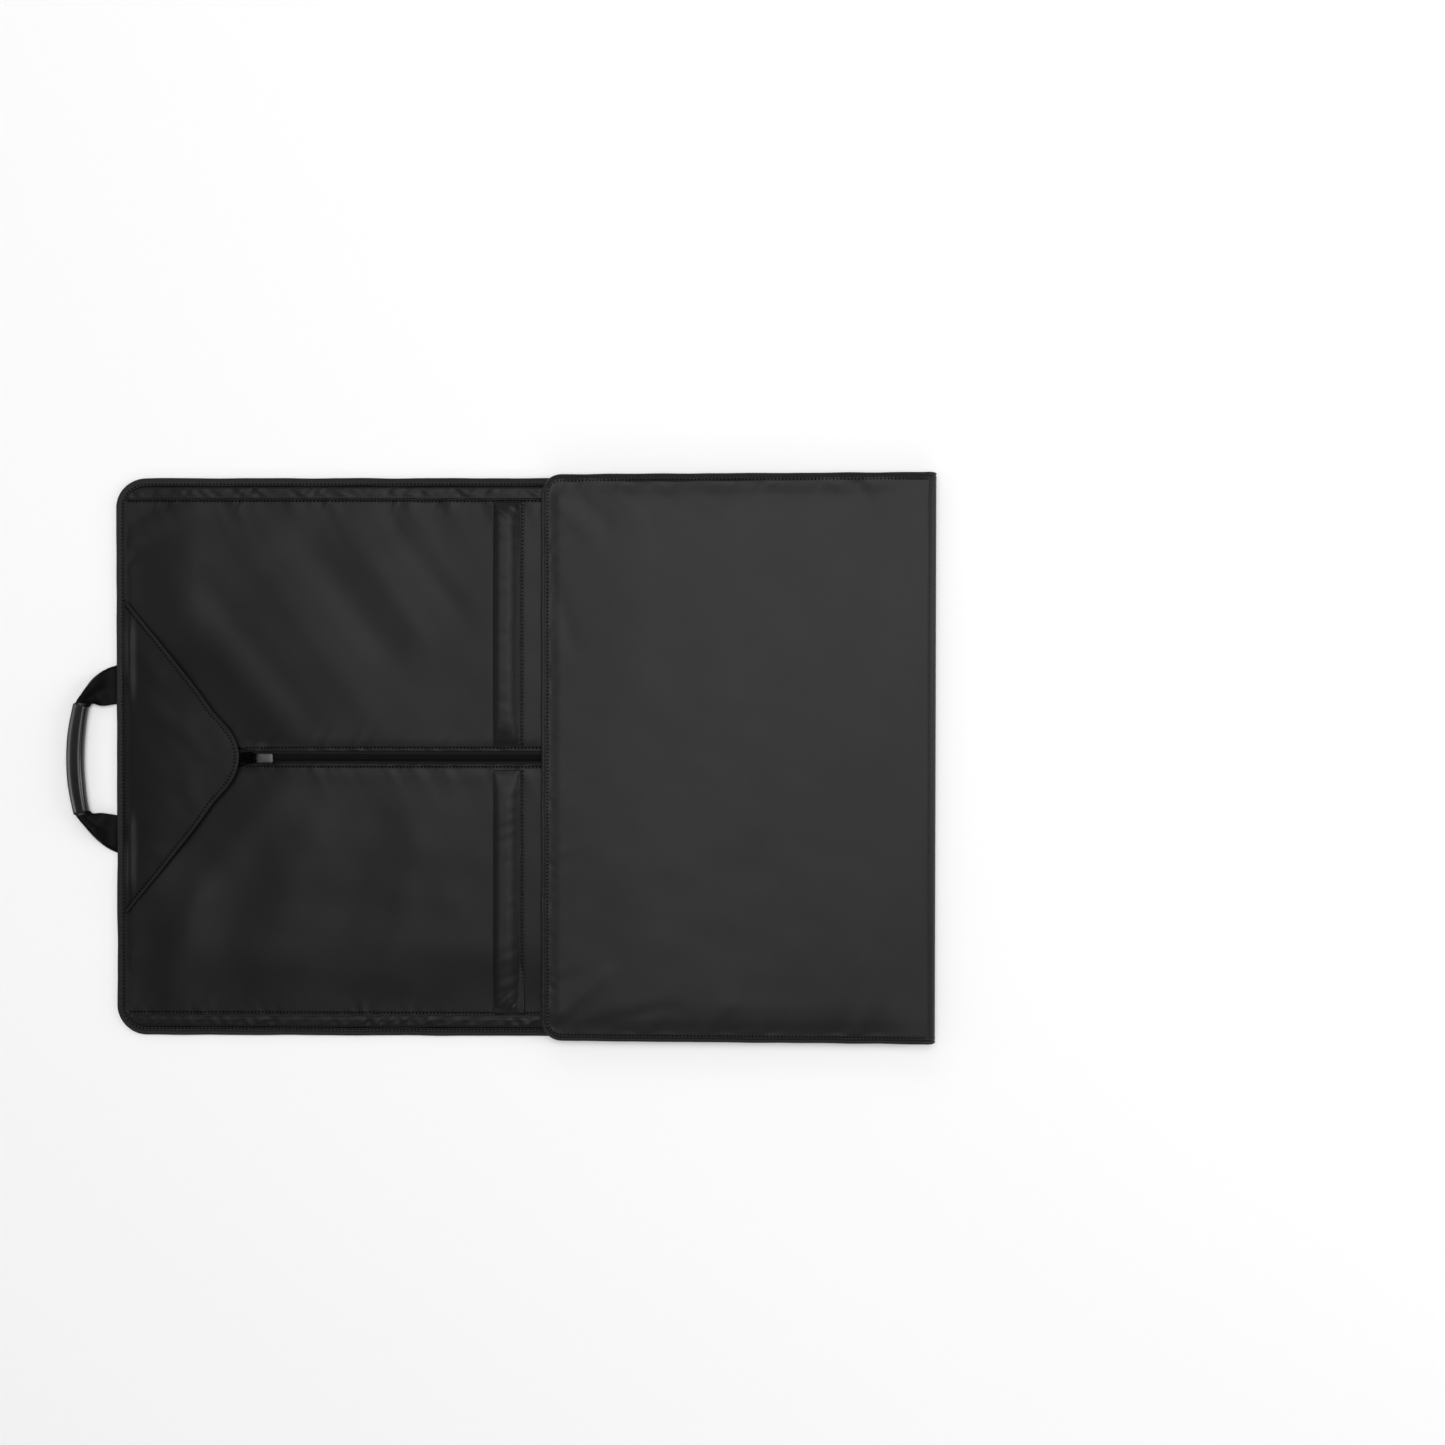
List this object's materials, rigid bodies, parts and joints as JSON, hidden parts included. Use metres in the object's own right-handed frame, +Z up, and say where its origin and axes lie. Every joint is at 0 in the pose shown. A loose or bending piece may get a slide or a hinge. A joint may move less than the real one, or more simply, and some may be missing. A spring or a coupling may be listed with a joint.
{
  "type": "garment bag",
  "caption": "Flat tri-fold garment bag with a central zip, a triangular hanger flap, anti-crease rolls and a carry handle; its lower third is folded over the middle.",
  "frame": {"origin": "middle of the bag's whole length and width as it lies, on the surface that it rests on", "axes": "+X from the handle to the side fold, +Y across the bag, +Z up out of the front"},
  "size_m": [0.869, 0.558, 0.021],
  "materials": {
    "front_fabric": "fine matt nylon weave",
    "back_fabric": "fine matt nylon weave",
    "binding": "ribbed nylon tape",
    "lining": "smooth polyester",
    "zip_tape": "woven polyester tape",
    "zip_coil": "satin nylon coil",
    "webbing": "ribbed nylon webbing",
    "grip": "smooth, half gloss",
    "foam": "foam",
    "board": "plain board",
    "gunmetal": "polished gunmetal",
    "slider_metal": "black lacquer"
  },
  "bodies": {
    "top_section": {"top_back_panel": "back_fabric", "top_front_upper": "front_fabric", "top_front_lower": "front_fabric", "top_gusset_upper": "front_fabric", "top_gusset_lower": "front_fabric", "top_binding": "binding", "top_board": "board", "handle_anchors": "webbing", "hanger_facing": "binding", "hanger_strap": "webbing", "hanger_snap": "gunmetal", "top_zip_tapes": "zip_tape", "top_zip_coil": "zip_coil", "zip_top_stops": "gunmetal", "roll_sleeve_upper": "front_fabric", "roll_sleeve_lower": "front_fabric", "roll_core_upper": "foam", "roll_core_lower": "foam", "body_magnets": "gunmetal"},
    "middle_section": {"middle_back_panel": "back_fabric", "middle_front_upper": "front_fabric", "middle_front_lower": "front_fabric", "middle_gusset_upper": "front_fabric", "middle_gusset_lower": "front_fabric", "middle_binding": "binding", "middle_zip_tapes": "zip_tape", "middle_zip_coil": "zip_coil"},
    "side_fold": {"fold_panel": "back_fabric", "fold_binding": "binding"},
    "lower_section": {"lower_back_panel": "back_fabric", "lower_front_upper": "front_fabric", "lower_front_lower": "front_fabric", "lower_gusset_upper": "front_fabric", "lower_gusset_lower": "front_fabric", "lower_binding": "binding", "lower_zip_tapes": "zip_tape", "lower_zip_coil": "zip_coil", "zip_bottom_stop": "gunmetal"},
    "flap": {"flap_outer": "front_fabric", "flap_lining": "lining", "flap_piping": "binding", "flap_magnets": "gunmetal"},
    "handle": {"grip_cover": "grip", "grip_core": "foam", "handle_web_upper": "webbing", "handle_web_lower": "webbing"},
    "zip_slider": {"slider_body": "slider_metal"},
    "puller": {"pull_tab": "gunmetal"}
  },
  "joints": [
    {"name": "top_fold", "type": "hinge", "parent": "middle_section", "child": "top_section", "pos_m": [0.0315, 0, 0.0203], "axis": [0, 1, 0], "range_deg": [0, 179]},
    {"name": "side_fold_hinge", "type": "hinge", "parent": "middle_section", "child": "side_fold", "pos_m": [0.43375, 0, 0.0008], "axis": [0, 1, 0], "range_deg": [0, 90]},
    {"name": "lower_fold", "type": "hinge", "parent": "side_fold", "child": "lower_section", "pos_m": [0.43375, 0, 0.0202], "axis": [0, 1, 0], "range_deg": [0, 90]},
    {"name": "flap_hinge", "type": "hinge", "parent": "top_section", "child": "flap", "pos_m": [-0.375, 0, 0.0119], "axis": [0, -1, 0], "range_deg": [0, 172]},
    {"name": "handle_hinge", "type": "hinge", "parent": "top_section", "child": "handle", "pos_m": [-0.387, 0, 0.005], "axis": [0, -1, 0], "range_deg": [-100, 0]},
    {"name": "zip_slide", "type": "slide", "parent": "top_section", "child": "zip_slider", "axis": [1, 0, 0], "range_m": [0, 0.248]},
    {"name": "puller_hinge", "type": "hinge", "parent": "zip_slider", "child": "puller", "pos_m": [-0.249, 0, 0.0122], "axis": [0, -1, 0], "range_deg": [0, 165]}
  ],
  "couplings": [
    {"joint": "side_fold_hinge", "follows": "lower_fold", "ratio": 1}
  ]
}
